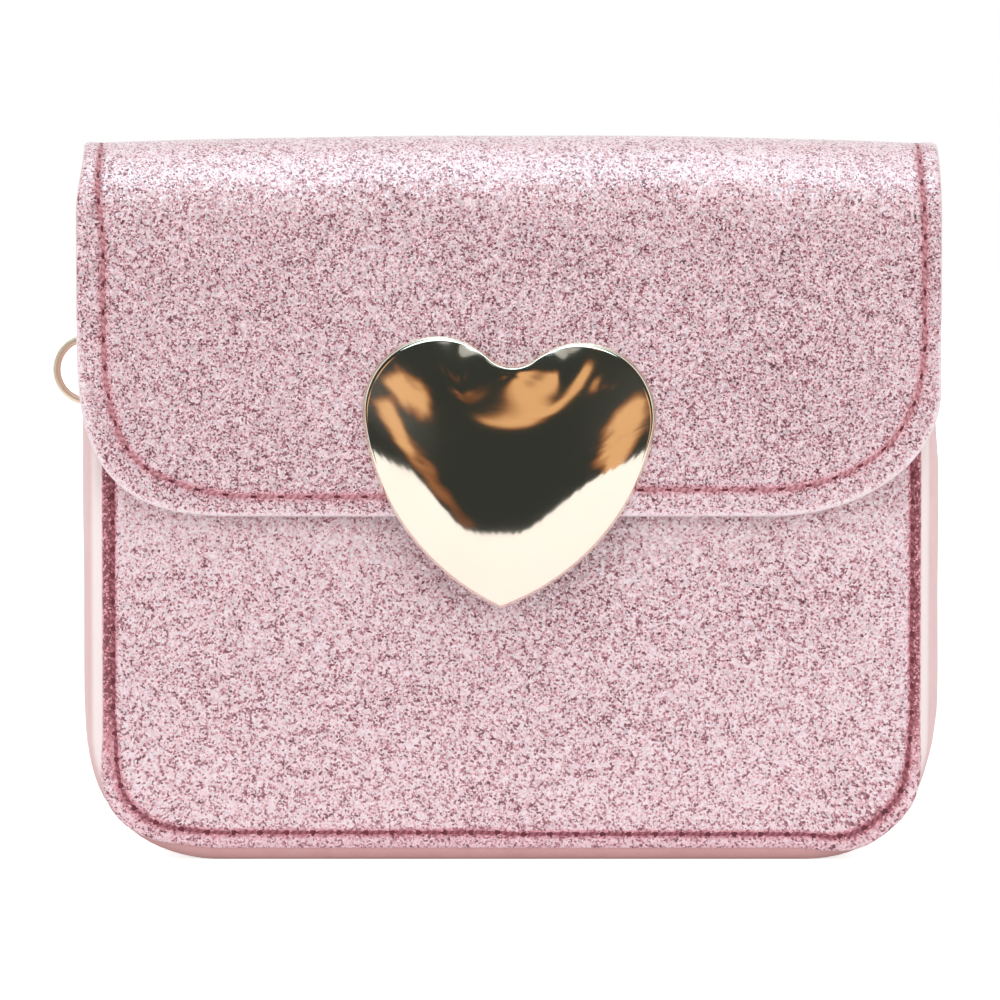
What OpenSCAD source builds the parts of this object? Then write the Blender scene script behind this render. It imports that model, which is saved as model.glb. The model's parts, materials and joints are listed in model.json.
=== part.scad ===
// Small box-shaped shoulder bag with a glitter flap, a domed metal heart on the flap, a magnetic
// snap behind the heart and a strap ring on each side. Millimetres, +Z up, front towards -Y,
// origin at the middle of the flat base.

/* [Body] */
// Width of the front and back panels
panel_w = 124.2; // [100:0.1:150]
// Height of the panels' top edge above the base
panel_top = 102.4; // [90:0.1:130]
// Depth over the two panels
body_d = 40; // [30:0.5:60]
// Radius of the panels' lower corners
corner_r = 17.7; // [10:0.1:25]
// How far the gusset's fold stands out beyond the panels' edge
fold_out = 1.8; // [1.5:0.1:3]
// Width of the gusset's flange, which is sewn behind each panel's edge
flange_w = 3.5; // [2.5:0.1:6]
// How far the gusset's top edge lies below the panels' top edge
gusset_drop = 2; // [1:0.5:6]

/* [Materials] */
// Thickness of the glitter and smooth leatherette
skin_t = 0.9; // [0.6:0.1:1.2]
// Thickness of the stiffener board in the panels and the flap
board_t = 1.4; // [1.2:0.1:2]
// Thickness of the U-shaped stiffener in the gusset
gusset_board_t = 1; // [0.6:0.1:1.4]
// Thickness of the lining cloth
lining_t = 0.5; // [0.3:0.1:0.8]
// Gap between a board's edge and the flange beside it
board_gap = 0.2; // [0.1:0.1:0.6]

/* [Flap] */
// Width of the flap
flap_w = 130; // [110:0.5:160]
// Height of the flap's lower edge above the base
flap_hem = 52.6; // [40:0.1:58]
// Radius of the flap's lower corners
flap_corner_r = 21.5; // [12:0.5:30]
// Gap between the closed flap's lining and the front panel
flap_gap = 2.5; // [2.3:0.1:5]
// Headroom between the panels' top edge and the flap's lining
headroom = 5.5; // [4:0.5:10]
// Outer radius of the fold from the flap's top to its front
front_fold_r = 12; // [8:0.5:14]
// Outer radius of the fold from the back seam to the flap's top
back_fold_r = 6.5; // [4:0.5:7]
// Height of the flap's seam strip on the back panel
tail_h = 13; // [8:0.5:20]

/* [Heart] */
// Radius of the heart's two lobes
lobe_r = 11.4; // [10:0.1:14]
// Distance of each lobe's centre from the heart's middle line
lobe_dx = 10.75; // [9:0.05:13]
// Height of the lobes' centres above the heart's middle
lobe_up = 8.5; // [6:0.1:11]
// Depth of the tip below the heart's middle
tip_down = 20.7; // [18:0.1:26]
// Radius of the long side arcs
side_r = 36; // [30:0.5:45]
// Radius of the soft notch between the lobes
notch_r = 3.7; // [1.5:0.05:5]
// Height of the polished dome above the flap
heart_h = 5.5; // [3.5:0.1:8]
// Height of the upright rim
rim_h = 1.2; // [0.9:0.1:2]
// Height that the rim's bevel adds
bevel_h = 0.45; // [0.2:0.05:0.8]
// Width of the rim's bevel
bevel_w = 0.9; // [0.4:0.1:1.5]
// Wall of the heart shell
heart_wall = 0.8; // [0.5:0.1:1.2]
// Thickness of the heart's base plate
heart_base_t = 0.9; // [0.6:0.1:1.5]
// Height of the heart's middle above the flap's lower edge
heart_up = 6.9; // [4:0.1:12]
// Sideways place of the heart's middle
heart_x = -0.35; // [-3:0.05:3]
// Clockwise tilt of the heart in degrees
heart_tilt = 2.5; // [0:0.5:8]
// Radius of the heart's posts
post_r = 1.5; // [1:0.1:2]
// Distance of each post from the heart's middle line
post_dx = 11; // [10:0.5:13]
// Height of the posts above the heart's middle
post_up = 8; // [4:0.5:10]
// Radius of the washers pressed on the posts
post_washer_r = 3.2; // [2.6:0.1:4]
// Thickness of the washers pressed on the posts
post_washer_t = 0.5; // [0.3:0.1:0.6]

/* [Magnetic snap] */
// Outer radius of the snap's case
snap_r = 7; // [6.5:0.1:9]
// Height of the snap's case above the front panel
case_h = 1.8; // [1.5:0.1:2]
// Radius of the hole that takes the stud
snap_hole_r = 3; // [2.8:0.1:3.4]
// Sheet thickness of the case
case_t = 0.3; // [0.2:0.05:0.4]
// Thickness of the snap's two base plates
snap_plate_t = 0.4; // [0.3:0.05:0.4]
// Radius of the stud
stud_r = 1.9; // [1.4:0.1:2]
// Length of the stud beyond its plate
stud_l = 1.1; // [0.8:0.1:1.2]
// Radius of the stud's plate
stud_plate_r = 6.5; // [6:0.1:8]
// Height of the snap's centre above the flap's lower edge
snap_up = 7.7; // [6:0.1:9]
// Radius of the snap's washers
washer_r = 5.6; // [5.4:0.1:6.4]
// Thickness of the snap's washers
washer_t = 0.4; // [0.3:0.05:0.5]
// Thickness of the bent prongs
prong_t = 0.4; // [0.3:0.05:0.4]
// Width of the bent prongs
prong_w = 2.4; // [1.5:0.1:3]
// Length of each prong's bent foot
prong_l = 2; // [1:0.1:2]
// Distance of each prong from the snap's centre
prong_x = 2.8; // [2.2:0.1:3]

/* [Strap rings] */
// Radius of the ring's curve, to the middle of its wire
ring_r = 4.9; // [4.5:0.1:8]
// Radius of the ring's wire
wire_r = 0.6; // [0.5:0.05:1]
// Height of the rings' centre above the base
ring_z = 74; // [60:0.1:85]
// Turn of the right ring towards the back in degrees
ring_back = 75; // [0:5:75]
// Width of the tab that holds the ring
tab_w = 7; // [4:0.1:7]
// Thickness of the tab's leather
tab_t = 0.5; // [0.4:0.05:0.8]
// Length of the tab's sewn tail
tab_l = 11; // [8:0.5:14]

/* [Hidden] */
$fn = 96;

// Overrun of every cut beyond the face that it leaves
cut = 0.5;
// Running clearance of a wire, post or prong in its hole
fit = 0.05;
// Slack between a washer's seat and what lies in it
seat_slack = 0.1;

half_d = body_d / 2;
side_x = panel_w / 2;
gusset_x = side_x + fold_out;
corner_x = side_x - corner_r;
corner_z = fold_out + corner_r;
web_u = fold_out - skin_t;
lining_u = web_u - gusset_board_t;
gusset_top = panel_top - gusset_drop;
gusset_v = half_d - skin_t - max(board_t + lining_t, fold_out);

flap_t = skin_t + board_t + lining_t;
soft_t = skin_t + lining_t;
flap_z = panel_top + headroom + soft_t;
front_y = -(half_d + flap_gap + flap_t);
front_fold_y = front_y + front_fold_r;
front_fold_z = flap_z - front_fold_r;
tail_y = half_d + soft_t;
back_fold_y = tail_y - back_fold_r;
back_fold_z = flap_z - back_fold_r;

heart_z = flap_hem + heart_up;
snap_z = flap_hem + snap_up;
seat = washer_t + prong_t + seat_slack;
post_seat = post_washer_t + seat_slack;

bar_x = gusset_x + tab_t + fit + wire_r;

lobe = [lobe_dx, lobe_up];
tip = [0, -tip_down];
// Centre of the notch's arc, on the middle line and tangent to both lobes
notch_y = lobe_up + sqrt(pow(lobe_r + notch_r, 2) - pow(lobe_dx, 2));
// Centre of the right-hand side arc, tangent inside the lobe and through the tip
lobe_tip = norm(lobe - tip);
along = (pow(side_r - lobe_r, 2) - pow(side_r, 2) + pow(lobe_tip, 2)) / (2 * lobe_tip);
across = sqrt(pow(side_r - lobe_r, 2) - pow(along, 2));
to_tip = (tip - lobe) / lobe_tip;
side_c = lobe + along * to_tip + across * [to_tip[1], -to_tip[0]];
notch_end = atan2(lobe_up - notch_y, lobe_dx);
lobe_end = atan2(lobe[1] - side_c[1], lobe[0] - side_c[0]);
side_end = atan2(tip[1] - side_c[1], tip[0] - side_c[0]);

function arc(c, r, from, to, n) = [for (i = [0 : n]) c + r * [cos(from + (to - from) * i / n),
                                                                sin(from + (to - from) * i / n)]];
function skip_first(list) = [for (i = [1 : len(list) - 1]) list[i]];

heart_half = concat(arc([0, notch_y], notch_r, -90, notch_end, 3),
                    skip_first(arc(lobe, lobe_r, notch_end + 180, lobe_end, 14)),
                    skip_first(arc(side_c, side_r, lobe_end, side_end, 9)));
heart_n = len(heart_half) - 1;
heart_outline = concat([for (p = heart_half) [-p[0], p[1]]], [for (i = [heart_n - 1 : -1 : 1]) heart_half[i]]);

// The dome's section: scale of the outline and height, from the rim to the flat middle
heart_reach = lobe_dx + lobe_r;
rim_s = (heart_reach - bevel_w) / heart_reach;
wall_s = heart_wall / heart_reach;
middle_share = 0.1;
dome_steps = 9;
roundness = 0.75;
function dome(rim, low, high) = [for (i = [0 : dome_steps]) let (a = 90 * i / dome_steps)
    [middle_share + (rim - middle_share) * pow(cos(a), roundness), low + (high - low) * pow(sin(a), roundness)]];
outer_dome = dome(rim_s, rim_h + bevel_h, heart_h);
inner_dome = dome(rim_s - wall_s, rim_h + bevel_h - heart_wall / 2, heart_h - heart_wall);
heart_rings = concat([for (i = [dome_steps : -1 : 0]) inner_dome[i]], [[rim_s - wall_s, 0], [1, 0], [1, rim_h]],
                     outer_dome);

// Stands a flat outline up on the XZ plane, from y0 to y0 + t
module upright(y0, t)
    translate([0, y0 + t, 0]) rotate([90, 0, 0]) linear_extrude(t) children();

// Runs an outline drawn in Y and Z along the flap's width
module along_flap()
    translate([-flap_w / 2, 0, 0]) rotate([90, 0, 90]) linear_extrude(flap_w) children();

// A plate's outline with rounded lower corners
module round_corners(half_w, low, high, r) {
    translate([-half_w, low + r]) square([2 * half_w, high - low - r]);
    translate([-half_w + r, low]) square([2 * (half_w - r), high - low]);
    for (side = [-1, 1]) translate([side * (half_w - r), low + r]) intersection() {
        circle(r);
        translate([-r, -r]) square([2 * r, r]);
    }
}

module panel_outline(inset, top = panel_top)
    round_corners(side_x - inset, fold_out + inset, top, corner_r - inset);

// A board's edge lies inside the flanges, and the skin turns over its top
module board_outline()
    panel_outline(flange_w + board_gap, panel_top - skin_t);

// Half of a flat loop: straight from u0, rounded at u1
module fold_outline(u0, u1, v, r) {
    translate([u0, -v]) square([u1 - r - u0, 2 * v]);
    translate([u0, r - v]) square([u1 - u0, 2 * (v - r)]);
    for (side = [-1, 1]) translate([u1 - r, side * (v - r)]) circle(r);
}

// Carries a section round the sides, the lower corners and the bottom of the bag
module gusset_sweep() {
    for (side = [0, 1]) mirror([side, 0, 0]) {
        translate([side_x, 0, corner_z]) linear_extrude(gusset_top - corner_z) children();
        translate([corner_x, 0, corner_z]) rotate([-90, 0, 0]) rotate_extrude(angle = 90)
            translate([corner_r, 0]) children();
    }
    translate([-corner_x, 0, fold_out]) rotate([0, 90, 0]) linear_extrude(2 * corner_x) children();
}

// Snap frame: origin on the face at y, local Z towards the front or the back
module at_snap(y, towards_front)
    translate([0, y, snap_z]) rotate([towards_front ? 90 : -90, 0, 0]) children();

module at_heart(y)
    translate([heart_x, y, heart_z]) rotate([90, 0, 0]) rotate([0, 0, -heart_tilt]) children();

// Two bent prongs that hold a plate on layers of the given thickness
module prongs(reach)
    for (side = [-1, 1]) {
        translate([side * prong_x - prong_t / 2, -prong_w / 2, -reach - prong_t])
            cube([prong_t, prong_w, reach + prong_t]);
        translate([side * prong_x + (side > 0 ? 0 : -prong_l), -prong_w / 2, -reach - prong_t])
            cube([prong_l, prong_w, prong_t]);
    }

// Slits for the prongs, from -reach up to the plate
module prong_slits(reach)
    for (side = [-1, 1])
        translate([side * prong_x - prong_t / 2 - fit, -prong_w / 2 - fit, -reach])
            cube([prong_t + 2 * fit, prong_w + 2 * fit, reach + cut]);

module snap_washer(reach)
    difference() {
        translate([0, 0, -reach]) cylinder(h = washer_t, r = washer_r);
        prong_slits(reach + cut);
    }

module at_posts()
    for (side = [-1, 1]) translate([side * post_dx, post_up, 0]) children();

case_reach = skin_t + board_t - seat + washer_t;
stud_reach = lining_t + board_t - seat + washer_t;

module front_panel() color("#d5b0b6")
    difference() {
        upright(-half_d, skin_t) panel_outline(0);
        at_snap(-half_d, true) prong_slits(skin_t + cut);
    }

module front_board() color("#b9a58c")
    difference() {
        upright(skin_t - half_d, board_t) board_outline();
        at_snap(-half_d, true) {
            prong_slits(skin_t + board_t + cut);
            translate([0, 0, -skin_t - board_t - cut]) cylinder(h = seat + cut, r = washer_r + seat_slack);
        }
    }

module front_lining() color("#e6c8c6")
    upright(skin_t + board_t - half_d, lining_t) panel_outline(-lining_u);

module back_panel() color("#d5b0b6")
    upright(half_d - skin_t, skin_t) panel_outline(0);

module back_board() color("#b9a58c")
    upright(half_d - skin_t - board_t, board_t) board_outline();

module back_lining() color("#e6c8c6")
    upright(half_d - skin_t - board_t - lining_t, lining_t) panel_outline(-lining_u);

module gusset() color("#e9d2d0")
    gusset_sweep() difference() {
        fold_outline(-flange_w, fold_out, half_d - skin_t, fold_out);
        fold_outline(-flange_w - cut, web_u, half_d - 2 * skin_t, web_u);
    }

module gusset_board() color("#b9a58c")
    gusset_sweep() translate([lining_u, -gusset_v]) square([gusset_board_t, 2 * gusset_v]);

module gusset_lining() color("#e6c8c6")
    gusset_sweep() translate([lining_u - lining_t, -gusset_v]) square([lining_t, 2 * gusset_v]);

module ring_tab()
    translate([bar_x, 0, ring_z - tab_w / 2]) difference() {
        union() {
            cylinder(h = tab_w, r = wire_r + fit + tab_t);
            translate([gusset_x - bar_x, 0, 0]) cube([2 * tab_t, tab_l, tab_w]);
        }
        translate([0, 0, -cut]) cylinder(h = tab_w + 2 * cut, r = wire_r + fit);
    }

module left_ring_tab() color("#e3c2c2") mirror([1, 0, 0]) ring_tab();
module right_ring_tab() color("#e3c2c2") ring_tab();

// A half-round wire ring whose straight bar stands in the tab's loop, turned towards the back
module ring(back)
    translate([bar_x, 0, ring_z]) rotate([0, 0, back]) {
        translate([0, 0, -ring_r]) cylinder(h = 2 * ring_r, r = wire_r);
        for (side = [-1, 1]) translate([0, 0, side * ring_r]) sphere(wire_r);
        rotate([90, 0, 0]) rotate([0, 0, -90]) rotate_extrude(angle = 180) translate([ring_r, 0]) circle(wire_r);
    }

module left_ring() color("#cdb69c") mirror([1, 0, 0]) ring(0);
module right_ring() color("#cdb69c") ring(ring_back);

module snap_case() color("#d8cdb2")
    at_snap(-half_d, true) {
        difference() {
            cylinder(h = case_h, r = snap_r);
            translate([0, 0, -cut]) cylinder(h = case_h - case_t + cut, r = snap_r - case_t);
            cylinder(h = case_h + cut, r = snap_hole_r);
        }
        translate([0, 0, snap_plate_t]) difference() {
            cylinder(h = case_h - snap_plate_t, r = snap_hole_r + case_t);
            translate([0, 0, -cut]) cylinder(h = case_h + 2 * cut, r = snap_hole_r);
        }
    }

module snap_magnet() color("#4a4a4c")
    at_snap(-half_d, true) translate([0, 0, snap_plate_t]) difference() {
        cylinder(h = case_h - case_t - snap_plate_t, r = snap_r - case_t);
        translate([0, 0, -cut]) cylinder(h = case_h + 2 * cut, r = snap_hole_r + case_t);
    }

module snap_case_plate() color("#d8cdb2")
    at_snap(-half_d, true) {
        cylinder(h = snap_plate_t, r = snap_r - case_t);
        prongs(case_reach);
    }

module snap_case_washer() color("#c9c4b8")
    at_snap(-half_d, true) snap_washer(case_reach);

module flap_seam_skin() color("#d5b0b6")
    along_flap() translate([half_d + lining_t, back_fold_z - tail_h]) square([skin_t, tail_h]);

module flap_seam_lining() color("#e6c8c6")
    along_flap() translate([half_d, back_fold_z - tail_h]) square([lining_t, tail_h]);

// A quarter of a round band about the origin, in the corner where both coordinates are positive
module quarter_band(r_out, t)
    intersection() {
        difference() {
            circle(r_out);
            circle(r_out - t);
        }
        square(r_out + cut);
    }

module back_fold_skin() color("#d5b0b6")
    along_flap() translate([back_fold_y, back_fold_z]) quarter_band(back_fold_r, skin_t);

module back_fold_lining() color("#e6c8c6")
    along_flap() translate([back_fold_y, back_fold_z]) quarter_band(back_fold_r - skin_t, lining_t);

module flap_top_skin() color("#e2c9d4")
    along_flap() translate([front_fold_y, flap_z - skin_t]) square([back_fold_y - front_fold_y, skin_t]);

module flap_top_lining() color("#e6c8c6")
    along_flap() translate([front_fold_y, flap_z - soft_t]) square([back_fold_y - front_fold_y, lining_t]);

module front_fold_skin() color("#e2c9d4")
    along_flap() translate([front_fold_y, front_fold_z]) mirror([1, 0]) quarter_band(front_fold_r, skin_t);

module front_fold_lining() color("#e6c8c6")
    along_flap() translate([front_fold_y, front_fold_z]) mirror([1, 0])
        quarter_band(front_fold_r - skin_t, lining_t);

module flap_outline()
    round_corners(flap_w / 2, flap_hem, front_fold_z, flap_corner_r);

module post_bores(reach)
    at_posts() translate([0, 0, -reach]) cylinder(h = reach + cut, r = post_r + fit);

module flap_front_skin() color("#d5b0b6")
    difference() {
        upright(front_y, skin_t) flap_outline();
        at_heart(front_y) post_bores(skin_t + cut);
    }

module flap_front_board() color("#b9a58c")
    difference() {
        upright(front_y + skin_t, board_t) flap_outline();
        at_heart(front_y) {
            post_bores(skin_t + board_t + cut);
            at_posts() translate([0, 0, -skin_t - board_t - cut])
                cylinder(h = post_seat + cut, r = post_washer_r + seat_slack);
        }
        at_snap(front_y + flap_t, false) {
            prong_slits(flap_t);
            translate([0, 0, -lining_t - board_t - cut]) cylinder(h = seat + cut, r = washer_r + seat_slack);
        }
    }

module flap_front_lining() color("#e6c8c6")
    difference() {
        upright(front_y + skin_t + board_t, lining_t) flap_outline();
        at_snap(front_y + flap_t, false) prong_slits(lining_t + cut);
    }

// A closed skin through rings of the heart's outline, each scaled and raised
module heart_skin(rings) {
    n = len(heart_outline);
    last = len(rings) - 1;
    first_middle = (last + 1) * n;
    polyhedron(concat([for (ring = rings) for (p = heart_outline) [p[0] * ring[0], p[1] * ring[0], ring[1]]],
                      [[0, 0, rings[0][1]], [0, 0, rings[last][1]]]),
        [for (i = [0 : n - 1]) let (j = (i + 1) % n)
            each concat([[first_middle, i, j]],
                        [for (k = [0 : last - 1]) each [[k * n + i, (k + 1) * n + i, k * n + j],
                                                        [k * n + j, (k + 1) * n + i, (k + 1) * n + j]]],
                        [[first_middle + 1, last * n + j, last * n + i]])],
        convexity = 6);
}

module heart_shell() color("#e8dcb4")
    at_heart(front_y) heart_skin(heart_rings);

module heart_base() color("#cfc6a8")
    at_heart(front_y) {
        linear_extrude(heart_base_t) polygon([for (p = heart_outline) p * (rim_s - 2 * wall_s)]);
        at_posts() translate([0, 0, -skin_t - board_t]) cylinder(h = skin_t + board_t + fit, r = post_r);
    }

module heart_washers() color("#c9c4b8")
    at_heart(front_y) at_posts() translate([0, 0, post_seat - skin_t - board_t - post_washer_t]) difference() {
        cylinder(h = post_washer_t, r = post_washer_r);
        translate([0, 0, -cut]) cylinder(h = post_washer_t + 2 * cut, r = post_r + fit);
    }

module snap_stud() color("#d8cdb2")
    at_snap(front_y + flap_t, false) {
        cylinder(h = snap_plate_t, r = stud_plate_r);
        cylinder(h = snap_plate_t + stud_l, r = stud_r);
        prongs(stud_reach);
    }

module snap_stud_washer() color("#c9c4b8")
    at_snap(front_y + flap_t, false) snap_washer(stud_reach);

front_panel();
front_board();
front_lining();
back_panel();
back_board();
back_lining();
gusset();
gusset_board();
gusset_lining();
left_ring_tab();
right_ring_tab();
snap_case();
snap_magnet();
snap_case_plate();
snap_case_washer();
flap_seam_skin();
flap_seam_lining();
back_fold_skin();
back_fold_lining();
flap_top_skin();
flap_top_lining();
front_fold_skin();
front_fold_lining();
flap_front_skin();
flap_front_board();
flap_front_lining();
heart_shell();
heart_base();
heart_washers();
snap_stud();
snap_stud_washer();
left_ring();
right_ring();
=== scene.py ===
import bpy
import json
import math
import numpy as np
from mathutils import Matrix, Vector


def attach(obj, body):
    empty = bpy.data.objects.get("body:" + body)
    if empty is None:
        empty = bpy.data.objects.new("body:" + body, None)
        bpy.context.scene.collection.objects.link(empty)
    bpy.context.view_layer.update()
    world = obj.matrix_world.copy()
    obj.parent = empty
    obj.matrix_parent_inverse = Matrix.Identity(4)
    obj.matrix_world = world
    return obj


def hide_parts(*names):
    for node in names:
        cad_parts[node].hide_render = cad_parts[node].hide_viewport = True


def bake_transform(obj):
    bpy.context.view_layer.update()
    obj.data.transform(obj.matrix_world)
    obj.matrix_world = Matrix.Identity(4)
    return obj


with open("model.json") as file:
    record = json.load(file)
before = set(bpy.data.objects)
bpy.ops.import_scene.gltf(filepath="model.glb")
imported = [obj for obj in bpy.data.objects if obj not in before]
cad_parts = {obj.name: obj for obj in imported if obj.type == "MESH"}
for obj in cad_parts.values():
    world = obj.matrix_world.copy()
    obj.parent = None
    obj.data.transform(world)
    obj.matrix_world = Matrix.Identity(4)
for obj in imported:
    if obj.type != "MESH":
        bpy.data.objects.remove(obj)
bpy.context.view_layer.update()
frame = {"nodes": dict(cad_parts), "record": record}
scene = bpy.context.scene

MM = 0.001
PI = math.pi

# Main sizes of the model, in millimetres
FLAP_X, HEM, TOP = 65.0, 52.6, 109.3
FRONT_Y, TAIL_Y = -25.3, 21.4
FRONT_R, BACK_R = 12.0, 6.5
FRONT_FOLD = (FRONT_Y + FRONT_R, TOP - FRONT_R)
BACK_FOLD = (TAIL_Y - BACK_R, TOP - BACK_R)
TAIL_H = 13.0
HALF_D, SIDE_X, FOLD_OUT = 20.0, 62.1, 1.8
CORNER_R = 17.7
CORNER_X, CORNER_Z = SIDE_X - CORNER_R, FOLD_OUT + CORNER_R
PANEL_TOP, GUSSET_TOP = 102.4, 100.4
RING_Z, SNAP_Z, HEART_Z = 74.0, 60.3, 59.5
SKIN, BOARD, CLOTH = 0.9, 1.4, 0.5
# The panels' skin turns over the board in a half circle of this radius, above its flat face
PANEL_TURN = 1.15
PANEL_FACE = PANEL_TOP - PANEL_TURN
# Length of a stitch, and how far the stitch lines lie from the edges
PITCH, FLAP_STITCH, PANEL_STITCH = 4.2, 3.2, 1.8


# Small helpers
def clamp(x, lo=0.0, hi=1.0):
    return max(lo, min(hi, x))


def smooth(a, b, x):
    t = clamp((x - a) / (b - a))
    return t * t * (3 - 2 * t)


def srgb(r, g, b):
    """Linear colour of an 8-bit screen colour."""
    def one(c):
        c /= 255
        return c / 12.92 if c <= 0.04045 else ((c + 0.055) / 1.055) ** 2.4
    return (one(r), one(g), one(b), 1.0)


def ripple(x, y, seed=0.0):
    """Slow, uneven waves between about -1 and 1."""
    return (math.sin(0.071 * x + 0.9 * seed + 1.3 * math.sin(0.043 * y + seed))
            + math.sin(0.113 * y + 1.7 * seed + 1.1 * math.sin(0.057 * x - seed))
            + 0.6 * math.sin(0.19 * x - 0.13 * y + 2.3 * seed)) / 2.6


def new_object(name, data):
    obj = bpy.data.objects.new(name, data)
    scene.collection.objects.link(obj)
    return obj


def mesh_piece(name, points, faces, materials, face_material=None, uv=None, seam=None):
    """An object from points in millimetres, with smooth faces, UVs in metres and a seam mask that also holds
    painted shade and painted highlights.
    """
    mesh = bpy.data.meshes.new(name)
    mesh.from_pydata([(x * MM, y * MM, z * MM) for x, y, z in points], [], faces)
    for m in materials:
        mesh.materials.append(m)
    if face_material:
        mesh.polygons.foreach_set("material_index", face_material)
    mesh.polygons.foreach_set("use_smooth", [True] * len(faces))
    if uv:
        layer = mesh.uv_layers.new(name="UVMap")
        flat = []
        for loop in mesh.loops:
            u, v = uv[loop.vertex_index]
            flat += [u * MM, v * MM]
        layer.data.foreach_set("uv", flat)
    if seam:
        mask = mesh.attributes.new("seam", "FLOAT", "POINT")
        mask.data.foreach_set("value", seam)
    mesh.update()
    return new_object(name, mesh)


# Procedural materials
class Nodes:
    """The node tree of a material or the world, built in a few words a node."""
    def __init__(self, owner):
        owner.use_nodes = True
        self.owner = owner
        self.tree = owner.node_tree
        self.tree.nodes.clear()
        self.out = self.add("ShaderNodeOutput" + type(owner).__name__)

    def feed(self, node, key, value):
        """Links (node, output) to an input, or gives the input a plain value."""
        if isinstance(value, tuple) and isinstance(value[0], bpy.types.Node):
            self.tree.links.new(value[0].outputs[value[1]], node.inputs[key])
        else:
            node.inputs[key].default_value = value

    def add(self, kind, inputs=None, **settings):
        node = self.tree.nodes.new(kind)
        for key, value in settings.items():
            setattr(node, key, value)
        for key, value in (inputs or {}).items():
            self.feed(node, key, value)
        return node

    def surface(self, kind, inputs):
        """Ends the tree in a shader and gives back the finished material or world."""
        self.feed(self.out, "Surface", (self.add(kind, inputs), 0))
        return self.owner

    def principled(self, **values):
        inputs = {key.replace("_", " "): value for key, value in values.items()}
        return self.surface("ShaderNodeBsdfPrincipled", inputs)

    def ramp(self, source, stops):
        """Each stop is a place and a colour or a grey."""
        node = self.add("ShaderNodeValToRGB", {"Fac": source})
        while len(node.color_ramp.elements) < len(stops):
            node.color_ramp.elements.new(0.5)
        for element, (at, colour) in zip(node.color_ramp.elements, stops):
            colour = colour if isinstance(colour, tuple) else (colour,) * 3
            element.position = at
            element.color = (*colour, 1.0)[:4]
        return (node, "Color")

    def noise(self, at, scale, detail, **more):
        inputs = {"Vector": at, "Scale": scale, "Detail": detail, **more}
        return (self.add("ShaderNodeTexNoise", inputs), "Fac")

    def mix(self, factor, a, b, blend="MIX"):
        return (self.add("ShaderNodeMix", {0: factor, 6: a, 7: b}, data_type="RGBA", blend_type=blend), 2)

    def math(self, operation, a, b=0.0, c=0.0, clamp=False):
        return (self.add("ShaderNodeMath", {0: a, 1: b, 2: c}, operation=operation, use_clamp=clamp), 0)

    def vector(self, operation, inputs, output=0):
        return (self.add("ShaderNodeVectorMath", inputs, operation=operation), output)

    def bump(self, height, strength, distance):
        inputs = {"Height": height, "Strength": strength, "Distance": distance}
        return (self.add("ShaderNodeBump", inputs), "Normal")

    def seam(self):
        """The seam mask of mesh_piece: above zero painted shade along seams and at the gusset's base; below
        zero pale cut edges, painted highlights and painted light.
        """
        return (self.add("ShaderNodeAttribute", attribute_name="seam"), "Fac")

    def place(self, space):
        """Where a texture is read, in UV or Object space."""
        return (self.add("ShaderNodeTexCoord"), space)


def new_material(name):
    return Nodes(bpy.data.materials.new(name))


FLAKES = [(0.10, srgb(98, 40, 54)), (0.30, srgb(158, 94, 107)), (0.50, srgb(222, 168, 178)),
          (0.66, srgb(255, 213, 221)), (0.85, srgb(255, 240, 245))]


def glitter(name, size=3700.0, cluster=0.30, painted_light_lift=0.0):
    """Leatherette covered with flakes under a clear coat. Each flake has its own shade, tilt and gloss."""
    n = new_material(name)
    at = n.place("UV")
    cell = n.add("ShaderNodeTexVoronoi", {"Vector": at, "Scale": size})
    fine = n.add("ShaderNodeTexVoronoi", {"Vector": at, "Scale": size * 1.65})
    parts = n.add("ShaderNodeSeparateColor", {"Color": (cell, "Color")})
    dust = n.add("ShaderNodeSeparateColor", {"Color": (fine, "Color")})
    patch = n.noise(at, 620.0, 2.0)
    slow = n.noise(at, 60.0, 2.0)
    level = n.math("MULTIPLY_ADD", (dust, "Red"), 0.34, n.math("MULTIPLY", (parts, "Red"), 0.66))
    level = n.math("MULTIPLY_ADD", n.math("SUBTRACT", patch, 0.5), cluster * 2, level)
    level = n.math("MULTIPLY_ADD", n.math("SUBTRACT", slow, 0.5), 0.22, level)
    seam = n.seam()
    # Below zero the seam mask lightens: the pale cut edge, a painted highlight over the front fold and
    # painted light under the flap's hem.
    pale_edge_and_painted_light = n.math("MULTIPLY", seam, -0.8, clamp=True)
    # The lift adds to every flake: in the panels' copy it is painted light that makes up for their shade.
    base = n.ramp(n.math("ADD", n.math("ADD", level, painted_light_lift), pale_edge_and_painted_light), FLAKES)
    flake = n.ramp((parts, "Green"), [(0.69, 0), (0.71, 1)])
    base = n.mix(n.math("MULTIPLY", flake, 0.7), base, srgb(255, 240, 248))
    # Above zero the seam mask paints shade: in the stitch grooves and along the panels' side rims and lower
    # edges.
    painted_seam_shade = n.math("MULTIPLY", seam, n.ramp((cell, "Color"), [(0.25, 0.35), (0.6, 1)]))
    painted_seam_shade = n.ramp(painted_seam_shade, [(0.0, 1), (0.5, (0.86, 0.49, 0.54)), (0.75, (0.55, 0.22, 0.27)),
                           (1.0, (0.30, 0.08, 0.11))])
    lean = n.vector("SUBTRACT", {0: (cell, "Color"), 1: (0.5, 0.5, 0.5)})
    lean = n.vector("SCALE", {0: lean, "Scale": 0.55})
    normal = n.vector("ADD", {0: (n.add("ShaderNodeNewGeometry"), "Normal"), 1: lean})
    return n.principled(Base_Color=n.mix(1.0, base, painted_seam_shade, "MULTIPLY"),
                        Metallic=n.math("MULTIPLY", flake, 0.4), Normal=n.vector("NORMALIZE", {0: normal}),
                        Roughness=n.ramp((parts, "Blue"), [(0.0, 0.28), (1.0, 0.5)]),
                        Coat_Weight=1.0, Coat_Roughness=0.27, Coat_IOR=1.5)


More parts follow.
